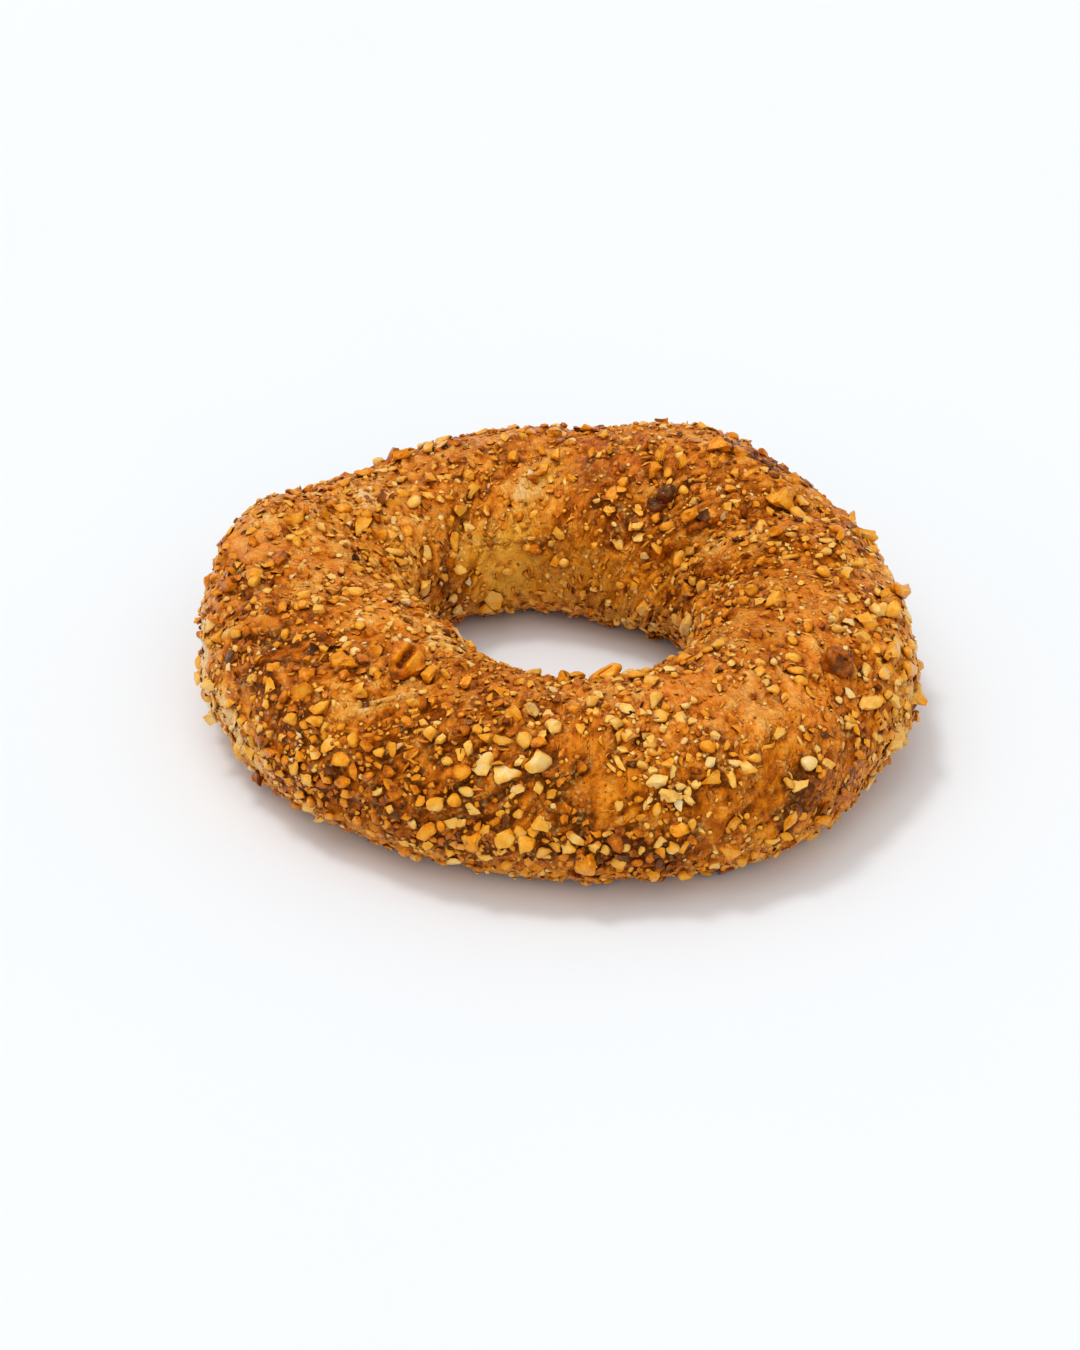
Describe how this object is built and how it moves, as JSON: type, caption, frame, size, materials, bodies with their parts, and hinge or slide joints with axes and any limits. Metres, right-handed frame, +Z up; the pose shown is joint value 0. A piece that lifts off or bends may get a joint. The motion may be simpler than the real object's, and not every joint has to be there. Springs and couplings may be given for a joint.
{
  "type": "simit",
  "caption": "Thick ring of twisted, baked bread with a shallow-grooved, browned crust, coated in chopped nuts, nut crumbs and small seeds",
  "frame": {"origin": "Middle of the bounding box's underside: the bread rests on z = 0", "axes": "+Z up through the hole; the pictured front faces -Y and its right side faces +X"},
  "size_m": [0.166, 0.1584, 0.043],
  "materials": {
    "crust": "baked bread crust, matt to satin, orange-brown on the ridges and paler in the grooves and near the base",
    "toasted_nut": "chopped toasted nuts, cream to golden with browned edges, satin",
    "dark_nut": "caramelised, nearly burnt nut, dark brown and glossy",
    "seed": "small pale seeds and nut grains with a slight gloss"
  },
  "bodies": {
    "root": {"bread_ring": "crust", "walnut_chunk": "toasted_nut", "caramelised_nut": "dark_nut", "browned_nut": "toasted_nut", "rim_nut": "toasted_nut"}
  },
  "joints": []
}
